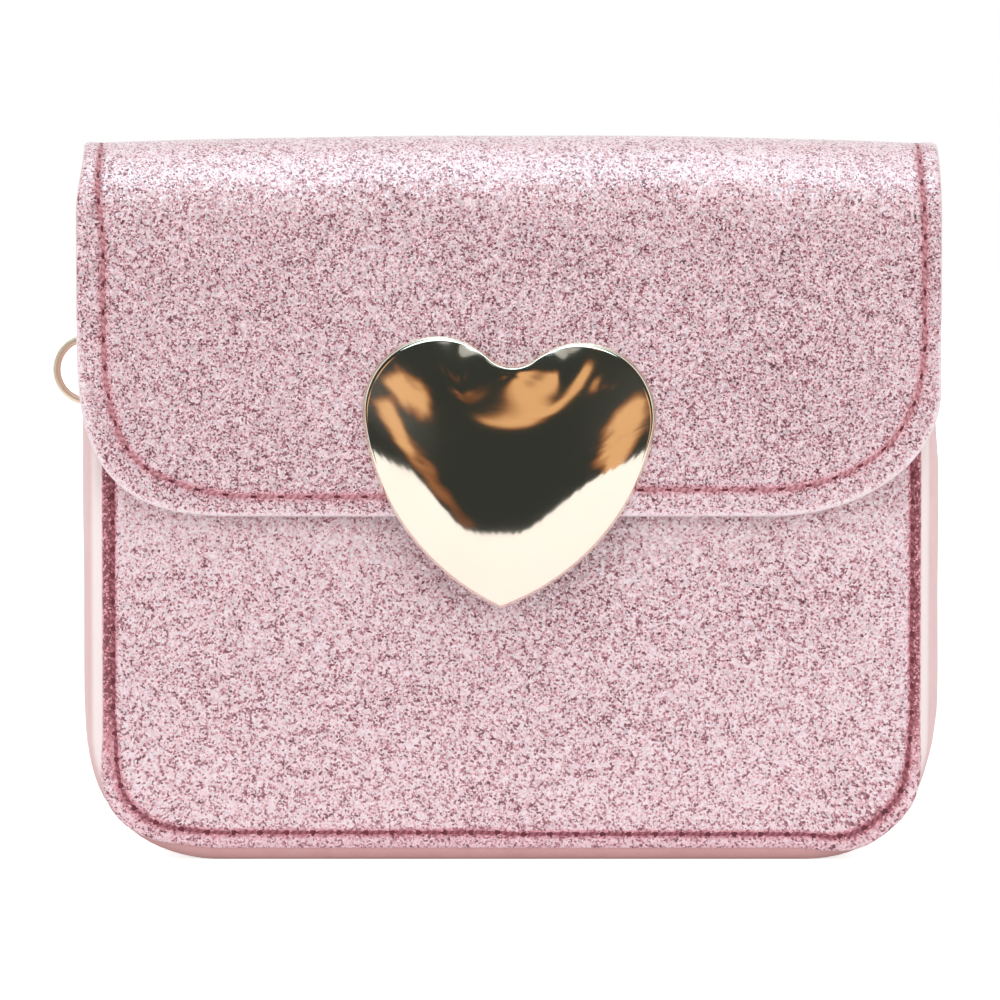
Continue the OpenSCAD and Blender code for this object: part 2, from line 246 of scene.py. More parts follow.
def leather(name, colour, deep):
    """Smooth leatherette with a faint grain and soft creases, darker in the creases' low places."""
    n = new_material(name)
    at = n.place("Object")
    grain = n.add("ShaderNodeTexVoronoi", {"Vector": at, "Scale": 1500.0})
    crease = n.noise(at, 260.0, 6.0, Roughness=0.62)
    cloud = n.noise(at, 45.0, 4.0)
    shade = n.mix(n.ramp(cloud, [(0.35, 0), (0.75, 0.55)]), colour, deep)
    shade = n.mix(n.ramp(crease, [(0.40, 0.35), (0.52, 0)]), shade, deep)
    seam = n.seam()
    # Painted shade where the seam mask is above zero, such as the gusset's painted contact shadow along its
    # base.
    shade = n.mix(1.0, shade, n.mix(seam, (1.0, 1.0, 1.0, 1.0), (0.62, 0.38, 0.38, 1.0)), "MULTIPLY")
    # Painted highlight where the seam mask is below zero, such as the light line on the gusset's shoulders.
    shade = n.mix(n.math("MULTIPLY", seam, -1.0, clamp=True), shade, srgb(255, 241, 239))
    height = n.math("ADD", n.math("MULTIPLY", (grain, "Distance"), 0.35), crease)
    return n.principled(Base_Color=shade, Normal=n.bump(height, 0.22, 0.0003),
                        Roughness=n.ramp(crease, [(0.3, 0.38), (0.7, 0.56)]))


def cloth(name, colour, deep):
    """Plain woven lining."""
    n = new_material(name)
    at = n.place("UV")
    wave = {"Vector": at, "Scale": 620.0, "Distortion": 0.6, "Detail": 1.0}
    warp, weft = [(n.add("ShaderNodeTexWave", wave, bands_direction=way), "Fac") for way in "XY"]
    weave = n.math("MULTIPLY", warp, weft)
    shade = n.mix(n.ramp(weave, [(0.0, 0.8), (0.6, 0)]), colour, deep)
    shade = n.mix(n.ramp(n.noise(at, 70.0, 5.0), [(0.4, 0), (0.8, 0.4)]), shade, deep)
    return n.principled(Base_Color=shade, Roughness=n.ramp(weave, [(0.0, 0.92), (1.0, 0.74)]),
                        Normal=n.bump(weave, 0.5, 0.00012), Sheen_Weight=0.25, Sheen_Roughness=0.5)


def metal(name, colour, deep, rough, scratch=0.05, streak=(900.0, 60.0, 60.0)):
    """Plated metal with faint drawn scratches and a slightly uneven polish."""
    n = new_material(name)
    at = n.place("Object")
    long = (n.add("ShaderNodeMapping", {"Vector": at, "Scale": streak}), 0)
    line = n.noise(long, 6.0, 3.0)
    cloud = n.noise(at, 130.0, 3.0)
    shade = n.mix(n.ramp(cloud, [(0.45, 0), (0.8, 0.6)]), colour, deep)
    polish = n.math("ADD", n.math("MULTIPLY", cloud, 0.6), n.math("MULTIPLY", line, 0.4))
    return n.principled(Base_Color=shade, Metallic=1.0, Normal=n.bump(line, scratch, 0.00002),
                        Roughness=n.ramp(polish, [(0.3, rough * 0.7), (0.7, rough * 1.4)]))


def fibre(name, colour, deep):
    """Pressed fibre board."""
    n = new_material(name)
    fleck = n.noise(n.place("Object"), 900.0, 4.0, Roughness=0.7)
    return n.principled(Base_Color=n.mix(n.ramp(fleck, [(0.35, 1), (0.65, 0)]), colour, deep),
                        Roughness=n.ramp(fleck, [(0.0, 0.82), (1.0, 0.95)]),
                        Normal=n.bump(fleck, 0.4, 0.0001))


def thread(name, colour, deep):
    """Twisted sewing thread."""
    n = new_material(name)
    ply = (n.add("ShaderNodeTexWave", {"Vector": n.place("UV"), "Scale": 480.0, "Distortion": 0.3},
                 bands_direction="DIAGONAL"), "Fac")
    return n.principled(Base_Color=n.mix(n.ramp(ply, [(0.0, 0), (1.0, 1)]), deep, colour),
                        Roughness=n.ramp(ply, [(0.0, 0.75), (1.0, 0.5)]),
                        Normal=n.bump(ply, 0.6, 0.0001), Sheen_Weight=0.3)


GLITTER = glitter("pink_glitter")
# The panels' copy has coarser flakes and is painted 0.05 lighter, painted light that makes up for the shade
# the panels get.
PANEL_GLITTER = glitter("panel_glitter", 3300.0, 0.35, 0.05)
GLITTER_EDGE = leather("pale_cut_edge", srgb(250, 228, 231), srgb(228, 190, 196))
LEATHER = leather("smooth_pink_leather", srgb(243, 209, 208), srgb(229, 189, 190))
TAB_LEATHER = leather("tab_leather", srgb(233, 204, 204), srgb(208, 168, 170))
LINING = cloth("woven_lining", srgb(226, 192, 192), srgb(196, 152, 154))
THREAD = thread("rose_thread", srgb(212, 152, 158), srgb(172, 100, 112))
PANEL_THREAD = thread("wine_thread", srgb(176, 98, 112), srgb(126, 54, 68))
# Dark discs at the needle holes: painted shade of the holes.
HOLE_SHADE = leather("needle_hole_shade", srgb(118, 40, 54), srgb(84, 24, 36))
FIBRE = fibre("fibre_board", srgb(176, 160, 136), srgb(140, 124, 102))
HEART_METAL = metal("heart_plating", (0.95, 0.87, 0.745, 1.0), (0.93, 0.835, 0.69, 1.0), 0.075,
                    scratch=0.03, streak=(60.0, 60.0, 900.0))
RING_METAL = metal("ring_plating", srgb(246, 230, 210), srgb(232, 210, 186), 0.42)
SNAP_METAL = metal("snap_plating", srgb(222, 200, 156), srgb(200, 172, 120), 0.2)
STEEL = metal("plain_steel", srgb(176, 174, 170), srgb(150, 148, 146), 0.32)
MAGNET = fibre("sintered_magnet", srgb(62, 62, 64), srgb(44, 44, 47))


# Sheets that are rimmed on three sides: left, lower edge and right
def plate_sides(half_w, rows, length, a, b, across=96, arc=12, left_b=0.0, square=2.0, fixed=0.0):
    """The sides of a plate with lower corners a wide and b high, as lists of (x, t, inward x, inward t).
    left_b and square give the left corner its own height and power: 2 is an ellipse, more is squarer.
    The rows up to fixed stay level from side to side."""
    left_b = left_b or b

    def corner(power, b):
        curve = []
        for i in range(1, 2 * arc + 1):
            p = PI / 2 * i / (2 * arc)
            c, s = max(math.cos(p), 0.0) ** (2 / power), math.sin(p) ** (2 / power)
            nx, nt = c ** (power - 1) / a, -s ** (power - 1) / b
            d = math.hypot(nx, nt)
            curve.append((-half_w + a - a * c, length - b + b * s, nx / d, nt / d))
        return curve

    curve = corner(square, left_b)
    other = [(-x, t, -nx, nt) for x, t, nx, nt in corner(2.0, b)]
    squeeze = (length - left_b - fixed) / (length - b - fixed)
    flat = [(-half_w + a + 2 * (half_w - a) * i / across, length, 0.0, -1.0) for i in range(1, across)]
    left = [(-half_w, t if t < fixed else fixed + (t - fixed) * squeeze, 1.0, 0.0) for t in rows]
    left += curve[:arc]
    lower = curve[arc - 1:] + flat + list(reversed(other))[:arc + 1]
    right = [(half_w, t, -1.0, 0.0) for t in rows] + other[:arc]
    return left, lower, right


def fill(left, lower, right):
    """Points that fill the space between four sides (a Coons patch), and their numbers row by row."""
    m, n = len(left), len(lower)
    upper = [(left[0][0] + (right[0][0] - left[0][0]) * i / (n - 1),
              left[0][1] + (right[0][1] - left[0][1]) * i / (n - 1)) for i in range(n)]
    points = list(upper)
    for j in range(1, m):
        v = j / (m - 1)
        for i in range(n):
            u = i / (n - 1)
            p = [(1 - u) * left[j][k] + u * right[j][k] + (1 - v) * upper[i][k] + v * lower[i][k]
                 - (1 - u) * (1 - v) * upper[0][k] - u * (1 - v) * upper[-1][k]
                 - (1 - u) * v * lower[0][k] - u * v * lower[-1][k] for k in (0, 1)]
            points.append((p[0], p[1]))
    return points, [list(range(j * n, (j + 1) * n)) for j in range(m)]


def even(x, t):
    """A stitch line that keeps its distance from the edge."""
    return 0.0


def inward(p, inset, stray):
    """The place inset from a side's point. stray(x, t) moves the stitch line there further in."""
    d = inset + stray(p[0], p[1]) * smooth(0.2, 2.0, inset)
    return (p[0] + p[2] * d, p[1] + p[3] * d)


def rimmed(name, sides, rings, place, materials, flip=False, seam=None, stray=even):
    """A sheet inside three sides. rings runs from the face's edge round the rim: (inset, share of the
    way from outer to inner face, lift, material). place(x, t, inset, share, lift) gives the point."""
    left, lower, right = sides
    points, faces, stuff, uv, mask = [], [], [], [], []

    def put(x, t, inset, share, lift):
        points.append(place(x, t, inset, share, lift))
        uv.append((x, (-t if flip else t) + share * 3.1 + (170 if share > 0.99 else 0)))
        mask.append(seam(x, t, inset) if seam else 0.0)

    def quad(a, b, c, d, material):
        faces.append((d, c, b, a) if flip else (a, b, c, d))
        stuff.append(material)

    inset, share, lift, material = rings[0]
    spots, rows = fill(*[[inward(p, inset, stray) for p in side] for side in sides])
    for x, t in spots:
        put(x, t, inset, share, lift)
    for upper, under in zip(rows, rows[1:]):
        for i in range(len(upper) - 1):
            quad(upper[i], under[i], under[i + 1], upper[i + 1], material)
    path = left + lower[1:] + list(reversed(right))[1:]
    ring = [row[0] for row in rows] + rows[-1][1:] + [row[-1] for row in reversed(rows)][1:]
    for inset, share, lift, material in rings[1:]:
        fresh = list(range(len(points), len(points) + len(path)))
        for p in path:
            x, t = inward(p, inset, stray)
            put(x, t, inset, share, lift)
        for i in range(len(path) - 1):
            quad(ring[i], fresh[i], fresh[i + 1], ring[i + 1], material)
        ring = fresh
    return mesh_piece(name, points, faces, materials, stuff, uv, mask if seam else None)


# Profile of the flap, by the arc length from the lower end of its seam strip
S_TAIL = TAIL_H
S_TOP = S_TAIL + PI / 2 * BACK_R
S_FOLD = S_TOP + BACK_FOLD[0] - FRONT_FOLD[0]
S_FRONT = S_FOLD + PI / 2 * FRONT_R
S_HEM = S_FRONT + FRONT_FOLD[1] - HEM
S_SPLIT = S_TOP + BACK_FOLD[0] - 1.0
# The same places by the distance from the split, where the front cover starts
T_FOLD, T_FRONT, T_HEM = S_FOLD - S_SPLIT, S_FRONT - S_SPLIT, S_HEM - S_SPLIT


def flap_profile(s):
    """Point (y, z) and outward normal of the flap's outer face."""
    if s < S_TAIL:
        return TAIL_Y, BACK_FOLD[1] - S_TAIL + s, 1.0, 0.0
    if s < S_TOP:
        a = (s - S_TAIL) / BACK_R
        return (BACK_FOLD[0] + BACK_R * math.cos(a), BACK_FOLD[1] + BACK_R * math.sin(a),
                math.cos(a), math.sin(a))
    if s < S_FOLD:
        return BACK_FOLD[0] - (s - S_TOP), TOP, 0.0, 1.0
    if s < S_FRONT:
        a = PI / 2 + (s - S_FOLD) / FRONT_R
        return (FRONT_FOLD[0] + FRONT_R * math.cos(a), FRONT_FOLD[1] + FRONT_R * math.sin(a),
                math.cos(a), math.sin(a))
    return FRONT_Y, FRONT_FOLD[1] - (s - S_FRONT), -1.0, 0.0


def flap_thickness(s):
    return SKIN + CLOTH + BOARD * smooth(S_FRONT - 9, S_FRONT - 1, s)


def flap_swell(x, s):
    """How far the flap's outer face stands off its plane: a crowned top and soft waves."""
    top = smooth(S_TAIL + 1, S_TOP + 3, s) * (1 - smooth(S_FRONT - 8, S_FRONT + 6, s))
    crown = top * (0.62 - 1.15 * abs(x / FLAP_X) ** 2.6)
    front = smooth(S_FRONT - 4, S_FRONT + 12, s)
    belly = front * 0.30 * (1 - (x / FLAP_X) ** 2)
    return crown + belly + 0.10 * ripple(x, s, 2.0) * (0.4 + 0.6 * top)


def flap_point(x, s, inset, share, lift):
    y, z, ny, nz = flap_profile(s)
    fold = smooth(S_FOLD - 6, S_FOLD + 4, s) * (1 - smooth(S_FRONT - 11, S_FRONT - 1, s))
    x += fold * (0.75 * smooth(45, 65, -x) - 0.15 * smooth(45, 65, x))
    off = flap_swell(x, s) * smooth(0, 6.6, inset + 2.4) + lift - share * (flap_thickness(s) - 0.12)
    return (x, y + ny * off, z + nz * off)


# Rings of the flap's outer and inner rim, as rimmed takes them
RIM = [(6.5, 0, 0.0, 0), (5.2, 0, 0.0, 0), (4.3, 0, 0.02, 0), (3.8, 0, 0.0, 0), (3.5, 0, -0.10, 0),
       (3.2, 0, -0.30, 0), (2.9, 0, -0.12, 0), (2.6, 0, 0.0, 0), (2.1, 0, 0.03, 0), (1.4, 0, 0.0, 0),
       (0.8, 0, -0.08, 0), (0.5, 0, -0.18, 0), (0.34, 0, -0.26, 0), (0.18, 0, -0.38, 0),
       (0.05, 0, -0.55, 1), (0.0, 0.36, -0.2, 1), (0.0, 0.6, 0.0, 1), (0.05, 0.82, 0.0, 1),
       (0.25, 0.97, 0.0, 1), (1.2, 0.995, 0.0, 1)]
LINING_RIM = [(6.5, 1.0, 0.0, 0), (4.2, 1.0, 0.0, 0), (3.7, 1.0, 0.05, 0), (3.2, 1.0, 0.18, 0),
              (2.7, 1.0, 0.05, 0), (2.0, 1.0, 0.0, 0), (1.0, 1.0, 0.0, 0), (0.75, 1.0, 0.08, 0),
              (0.62, 0.96, 0.1, 0)]


def steps(start, stop, *zones):
    """Values from start to stop, with the spacing that each (limit, spacing) zone gives."""
    out, at = [start], start
    while True:
        gap = next(g for limit, g in zones if at < limit - 1e-6)
        at += gap
        if at > stop - 0.45 * gap:
            return out + [stop]
        out.append(at)


# Width and height of the flap's lower corners, and the radius of the seam strip's
FLAP_CORNER_W, FLAP_CORNER_H, BACK_CORNER = 25.5, 18.8, 4.6
front_rows = steps(0.0, T_HEM - FLAP_CORNER_H, (T_FOLD, 1.3), (T_FRONT + 2, 0.75), (999, 1.1))
front_sides = plate_sides(FLAP_X, front_rows, T_HEM, FLAP_CORNER_W, FLAP_CORNER_H, left_b=28.0, square=3.0,
                          fixed=T_FRONT + 2)
back_rows = steps(0.0, S_SPLIT - BACK_CORNER, (S_SPLIT - S_TOP, 1.3), (S_SPLIT - S_TAIL + 1, 0.55),
                  (999, 1.1))
back_sides = plate_sides(FLAP_X, back_rows, S_SPLIT, BACK_CORNER, BACK_CORNER, arc=6)


def front_place(x, t, inset, share, lift):
    return flap_point(x, S_SPLIT + t, inset, share, lift)


def back_place(x, t, inset, share, lift):
    return flap_point(x, S_SPLIT - t, inset, share, lift)


def flap_stray(x, t):
    """The flap's stitch line wanders: closer to the edge at the top and on the right."""
    side = smooth(FLAP_X - 27, FLAP_X - 9, abs(x))
    low = smooth(T_HEM - 26, T_HEM - 12, t)
    high = 1 - smooth(T_FRONT - 10, T_FRONT + 4, t)
    if x < 0:
        return (-0.15 + side * (1.1 + 0.5 * low)) * (1 - high) - 0.6 * high
    return (0.9 * (1 - side) + side * (1.2 * low - 0.6 * (1 - low))) * (1 - 0.6 * high)


def back_seam(x, t, inset):
    """Painted shade, rose along the stitches' groove."""
    return 0.62 * smooth(0.95, 0.2, abs(inset - FLAP_STITCH))


def flap_seam(x, t, inset):
    """Painted shade, rose along the stitches; the pale cut edge along the corners and hem; and a painted
    highlight over the front fold.
    """
    line = back_seam(x, t, inset)
    if line > 0:
        return line
    hem = smooth(T_HEM - 34, T_HEM - 22, t)
    wave = 2.2 * ripple(x * 2.3, 7.0, 5.0)
    # A painted highlight over the front fold.
    fold = smooth(T_FOLD - 2, T_FOLD + 4, t) * smooth(T_FRONT + 2, T_FRONT - 6, t + wave)
    return -max(0.6 * hem * smooth(0.9, 0.1, inset), 0.10 * fold)


def bend_front(obj):
    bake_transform(obj)


def bend_back(obj):
    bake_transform(obj)


flap_front = rimmed("flap_front_cover", front_sides, RIM, front_place, [GLITTER, GLITTER_EDGE],
                    seam=flap_seam, stray=flap_stray)
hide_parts("flap_top_skin", "front_fold_skin", "flap_front_skin", "flap_front_board")
flap_back = rimmed("flap_back_cover", back_sides, RIM[2:], back_place, [GLITTER, GLITTER_EDGE], flip=True,
                   seam=back_seam)
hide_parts("flap_seam_skin", "back_fold_skin")
flap_front_cloth = rimmed("flap_front_lining_cloth", front_sides, LINING_RIM, front_place, [LINING],
                          flip=True, stray=flap_stray)
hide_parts("flap_top_lining", "front_fold_lining", "flap_front_lining")
flap_back_cloth = rimmed("flap_back_lining_cloth", back_sides, LINING_RIM[1:], back_place, [LINING])
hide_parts("flap_seam_lining", "back_fold_lining")
for piece, bend, slot in ((flap_front, bend_front, "glitter"), (flap_back, bend_back, "glitter"),
                          (flap_front_cloth, bend_front, "lining"), (flap_back_cloth, bend_back, "lining")):
    bend(piece)


# Stitches: short threads between needle holes, along a list of (point, normal) places
def along_path(places, pitch):
    """Places at even distances along a path, as (point, normal, tangent)."""
    total, want, out = 0.0, 0.0, []
    for (p, n), (q, m) in zip(places, places[1:]):
        d = (q - p).length
        while d > 0 and total + d >= want:
            f = (want - total) / d
            out.append((p.lerp(q, f), n.lerp(m, f).normalized(), (q - p).normalized()))
            want += pitch
        total += d
    return out


def tube(first, rows, around):
    """Faces of a tube whose rings of points start at number first."""
    faces = []
    for i in range(rows):
        for j in range(around):
            a, b = first + i * around + j, first + i * around + (j + 1) % around
            faces.append((a, b, b + around, a + around))
    return faces


def stitches(name, places, pitch=PITCH, sink=0.03, width=0.33, rise=0.30, material=THREAD):
    """Thread meshes along a path, and dark discs at the needle holes that paint their shade."""
    parts, around, hole_around = 8, 8, 10
    hole_rings = ((-0.30, 0.34), (0.04, 0.44), (0.09, 0.33), (0.07, 0.12))
    fine = along_path(places, pitch / parts)
    points, faces, uv, hole_points, hole_faces = [], [], [], [], []
    for k in range((len(fine) - 1) // parts):
        first = len(points)
        run = fine[parts * k: parts * (k + 1) + 1]
        lean = 0.10 * math.sin(k * 2.4)
        for i, (p, n, t) in enumerate(run):
            share = 2 * i / parts - 1
            side = n.cross(t)
            lift = rise * math.sqrt(max(0.0, 1 - share ** 2 * 0.98)) - 0.22
            thick = width * (0.62 + 0.38 * math.sqrt(max(0.0, 1 - share ** 4)))
            middle = p + n * (lift + sink) + side * lean * share + t * (-0.42 * share)
            for j in range(around):
                a = 2 * PI * j / around
                points.append(middle + side * thick * math.cos(a) + n * thick * 0.62 * math.sin(a))
                uv.append((k * 7 + i * pitch / parts, j * 0.2))
        faces += tube(first, parts, around)
        faces.append(tuple(range(first, first + around))[::-1])
        faces.append(tuple(range(first + parts * around, first + (parts + 1) * around)))
        p, n, t = run[0]
        side = n.cross(t)
        first = len(hole_points)
        for low, r in hole_rings:
            for j in range(hole_around):
                a = 2 * PI * j / hole_around
                wide = r * (1 + 0.22 * math.sin(3 * a + k * 1.9) + 0.14 * math.sin(5 * a + k))
                hole_points.append(p + n * (low + sink) + t * wide * 1.1 * math.cos(a)
                                   + side * wide * math.sin(a))
        hole_faces += tube(first, len(hole_rings) - 1, hole_around)
        hole_faces.append(tuple(range(len(hole_points) - hole_around, len(hole_points))))
    return (mesh_piece(name + "_thread", points, faces, [material], uv=uv),
            mesh_piece(name + "_hole_shade", hole_points, hole_faces, [HOLE_SHADE]))


def rim_path(sides, place, inset, share, lift, stray=even, toward=1.0):
    """Places along a plate's stitch line, with the face's normal."""
    left, lower, right = sides
    out = []
    for side in left + lower[1:] + list(reversed(right))[1:]:
        x, t = inward(side, inset, stray)
        p = Vector(place(x, t, inset, share, lift))
        q = Vector(place(x, t, inset, share, lift + 1.0))
        out.append((p, (q - p).normalized() * toward))
    return out


for name, sides, place, bend, stray in (("flap_front", front_sides, front_place, bend_front, flap_stray),
                                        ("flap_back", back_sides, back_place, bend_back, even)):
    outer = rim_path(sides, place, FLAP_STITCH, 0, -0.28, stray)
    inner = rim_path(sides, place, FLAP_STITCH, 1.0, 0.16, stray, toward=-1.0)
    for side, path in (("outer", outer), ("inner", inner)):
        for piece in stitches(f"{name}_{side}", path):
            bend(piece)


# Front and back panels: a skin turned over the board at the top, pressed in along its stitched rim
def turned(t, middle, r, top, way):
    """Point (y, z) and normal of a face that turns over at its top edge. t runs down the face."""
    if t >= 0:
        return middle + way * r, top - t, way, 0.0
    a = -t / r
    if a <= PI:
        return middle + way * r * math.cos(a), top + r * math.sin(a), way * math.cos(a), math.sin(a)
    return middle - way * r, top - (-t - PI * r), -way, 0.0


def panel_swell(x, z, inset, way):
    """How far a panel's skin stands off its board: rolled in at the rim, full in the middle."""
    rolled = -0.42 * (1 - smooth(0.0, 2.7, inset))
    full = smooth(2.2, 15.0, inset) * (1 - smooth(76, 90, z))
    near = 1 - math.exp(-((x / 13) ** 2 + ((z - SNAP_Z) / 13) ** 2)) if way < 0 else 1.0
    return rolled + full * near * (0.42 + 0.10 * ripple(x, z, 1.0 + way))


def corner_reach(x, z):
    """How far the panels' lower corners stand out past the rounded seam line."""
    if z >= CORNER_Z or abs(x) <= CORNER_X:
        return 0.0
    turn = math.degrees(math.atan2(CORNER_Z - z, abs(x) - CORNER_X))
    start, stop = (92, 58) if x > 0 else (82, 42)
    return 2.2 * smooth(0, 38, turn) * smooth(start, stop, turn)


def panel_stray(x, t):
    """The panel's stitch line lies further in along the bottom and nearer the edge on the right."""
    z = PANEL_FACE - t
    low = smooth(CORNER_Z + 4, CORNER_Z - 8, z)
    return low * (0.75 if x < 0 else 0.5) + (1 - low) * (0.0 if x < 0 else -0.35)


def panel_place(way):
    def place(x, t, inset, share, lift):
        y, z, ny, nz = turned(t, way * (HALF_D - PANEL_TURN), PANEL_TURN, PANEL_FACE, way)
        edge = SIDE_X - abs(x)
        if z < CORNER_Z:
            dx, dz = max(0.0, abs(x) - CORNER_X), CORNER_Z - z
            far = math.hypot(dx, dz)
            edge = CORNER_R - far
            push = corner_reach(x, z) * smooth(9, 0, edge)
            if push > 0:
                x, z = x + math.copysign(dx / far * push, x), z - dz / far * push
        x += 0.4 * smooth(50, 60, abs(x)) * (smooth(6, 20, z) if x < 0 else 1.0)
        face = clamp(1 + t)
        off = panel_swell(x, z, max(edge, 0.0), way) * face + lift - share * SKIN
        return (x, y + ny * off, z + nz * off)
    return place


def panel_seam(x, t, inset):
    """Painted shade: maroon between the stitches and the edge up the sides, rose along the stitches, and a
    little darker along the edge at the bottom.
    """
    z = PANEL_FACE - t
    rim = smooth(0.0, 0.3, inset) * (1 - smooth(1.9, 2.5, inset))
    # Painted shade on the side rims, where they roll away from the light.
    side = rim * smooth(58.0, 60.0, abs(x)) * smooth(8, 26, z)
    line = (0.72 + 0.2 * smooth(44, 56, x)) * smooth(0.85, 0.2, abs(inset - PANEL_STITCH))
    below = 0.15 * smooth(2.0, 1.2, inset) * smooth(16, 8, z)
    return max(side, line, below)


def front_seam(x, t, inset):
    """The front panel also gets painted light: a little paler in a band under the flap's lower edge, where
    the flap shades it.
    """
    z = PANEL_FACE - t
    return panel_seam(x, t, inset) or -0.13 * smooth(41, 50, z) * smooth(62, 54, z)


PANEL_RIM = [(6.0, 0, 0.0, 0), (4.4, 0, 0.0, 0), (3.2, 0, 0.0, 0), (2.6, 0, 0.0, 0), (2.2, 0, -0.10, 0),
             (1.8, 0, -0.26, 0), (1.45, 0, -0.10, 0), (1.1, 0, 0.02, 0), (0.75, 0, 0.0, 0),
             (0.45, 0, -0.08, 0), (0.2, 0, -0.2, 0), (0.05, 0.15, -0.22, 0), (0.0, 0.5, -0.1, 1),
             (0.02, 0.85, 0.0, 1), (0.6, 1.0, 0.0, 1)]
PANEL_LENGTH = PANEL_FACE - FOLD_OUT
panel_rows = steps(-7.2, PANEL_LENGTH - CORNER_R, (-3.7, 0.9), (0.6, 0.3), (999, 1.25))
panel_sides = plate_sides(SIDE_X, panel_rows, PANEL_LENGTH, CORNER_R, CORNER_R)

for name, way in (("front", -1.0), ("back", 1.0)):
    place = panel_place(way)
    skin = rimmed(f"{name}_panel_skin", panel_sides, PANEL_RIM, place, [PANEL_GLITTER, GLITTER_EDGE],
                  flip=way > 0, seam=front_seam if way < 0 else panel_seam, stray=panel_stray)
    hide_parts(f"{name}_panel")
    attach(skin, "bag")
    path = [(p, n) for p, n in rim_path(panel_sides, place, PANEL_STITCH, 0, -0.22, panel_stray)
            if p.z < PANEL_TOP - 2.4 and way * p.y > HALF_D - 2]
    for piece in stitches(f"{name}_panel", path, pitch=4.0, width=0.28, material=PANEL_THREAD):
        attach(piece, "bag")
    if way < 0:
        path = [(Vector(place(x, 2.3, 9, 0, 0.0)), Vector((0, way, 0))) for x in range(-58, 59, 2)]
        for piece in stitches("front_opening", path, pitch=4.0, width=0.24, sink=-0.05):
            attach(piece, "bag")


# The path that the gusset follows round the bag, as (x, z, outward x, outward z, distance)
def bag_path(top, spacing):
    side, turn, flat = top - CORNER_Z, PI / 2 * CORNER_R, 2 * CORNER_X
    total = 2 * side + 2 * turn + flat
    count = round(total / spacing)
    out = []
    for i in range(count + 1):
        d = total * i / count
        if d < side:
            out.append((-SIDE_X, top - d, -1.0, 0.0, d))
        elif d < side + turn:
            a = (d - side) / CORNER_R
            out.append((-CORNER_X - CORNER_R * math.cos(a), CORNER_Z - CORNER_R * math.sin(a),
                        -math.cos(a), -math.sin(a), d))
        elif d < side + turn + flat:
            out.append((-CORNER_X + d - side - turn, FOLD_OUT, 0.0, -1.0, d))
        elif d < side + 2 * turn + flat:
            a = (d - side - turn - flat) / CORNER_R
            out.append((CORNER_X + CORNER_R * math.sin(a), CORNER_Z - CORNER_R * math.cos(a),
                        math.sin(a), -math.cos(a), d))
        else:
            out.append((SIDE_X, CORNER_Z + d - side - 2 * turn - flat, 1.0, 0.0, d))
    return out


def gusset_swell(x, z, v, d):
    """Soft ridges beside the seams, a valley down the middle, and a flat base."""
    side = smooth(8, 26, z)
    ridge = smooth(19.0, 13.5, abs(v)) * (1.0 - 1.25 * smooth(12.0, 1.0, abs(v)))
    tab = math.exp(-((z - RING_Z) / 9) ** 4) * smooth(-7, -2, v) * smooth(18, 13, v)
    corner = smooth(30, 18, z) * smooth(2, 10, z) * abs(math.sin(d * 0.62)) ** 3 * smooth(17, 6, abs(v))
    wave = 0.10 * ripple(d * 1.4, v * 3, 4.0) * smooth(19, 15, abs(v)) * smooth(3, 14, z)
    under = 0.22 * smooth(14, 4, abs(v)) * (1 - side)
    full = 0.6 * smooth(12, 24, z) * smooth(70, 58, z) * smooth(19, 14, abs(v)) if x > 0 else 0.0
    lip = 0.22 * corner_reach(x, z) * smooth(6, 15, abs(v)) * smooth(19.1, 17.5, abs(v))
    return (side * ridge + wave) * (1 - tab) - 0.22 * corner - under + full + lip


def gusset_section():
    """Pairs of outer and inner points (u, v) from the front flange to the back flange."""
    half = [(u, 19.1, u, 18.2) for u in (-3.5, -2.0, -0.8, 0.0)]
    for i in range(1, 8):
        a = PI / 2 * i / 7
        c, s = math.cos(a), math.sin(a)
        half.append((1.8 * s, 17.3 + 1.8 * c, 0.9 * s, 17.3 + 0.9 * c))
    front = [(u, -v, p, -q) for u, v, p, q in half]
    web = [(1.8, -17.3 + 34.6 * i / 26, 0.9, -17.3 + 34.6 * i / 26) for i in range(1, 26)]
    return front + web + list(reversed(half))


def layer_faces(count, n):
    """Faces of a closed layer: count stations, each with n points outside and then n inside."""
    faces = []
    for i in range(count - 1):
        o, m = i * 2 * n, (i + 1) * 2 * n
        for j in range(n - 1):
            faces.append((o + j, o + j + 1, m + j + 1, m + j))
            faces.append((o + n + j + 1, o + n + j, m + n + j, m + n + j + 1))
        faces.append((o + n, o, m, m + n))
        faces.append((o + n - 1, o + 2 * n - 1, m + 2 * n - 1, m + n - 1))
    for o, turn in ((0, False), ((count - 1) * 2 * n, True)):
        for j in range(n - 1):
            f = (o + j + 1, o + j, o + n + j, o + n + j + 1)
            faces.append(f[::-1] if turn else f)
    return faces


def swept(name, stations, section, swell, material):
    """Carries a section of outer and inner points along the bag's path."""
    points, uv, mask = [], [], []
    for x, z, ox, oz, d in stations:
        low = smooth(16.0, 6.0, z)
        for outer in (True, False):
            for u, v, p, q in section:
                a, b = (u, v) if outer else (p, q)
                a += swell(x, z, v, d)
                points.append((x + ox * a, b, z + oz * a))
                uv.append((d, b))
                # Painted contact shadow along the base beside the front and back seams, and a painted
                # highlight along the shoulders up the sides.
                dark = low * smooth(16.9, 17.4, abs(b)) * (0.62 + 0.4 * smooth(18.3, 17.4, abs(b)))
                pale = (1 - low) * (smooth(18.5, 18.9, abs(b)) if x < 0 else smooth(18.0, 18.6, abs(b)))
                mask.append(dark - pale if outer else 0.0)
    return mesh_piece(name, points, layer_faces(len(stations), len(section)), [material], uv=uv, seam=mask)


gusset = swept("gusset_leather", bag_path(GUSSET_TOP, 1.5), gusset_section(), gusset_swell, LEATHER)
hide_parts("gusset")
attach(gusset, "bag")


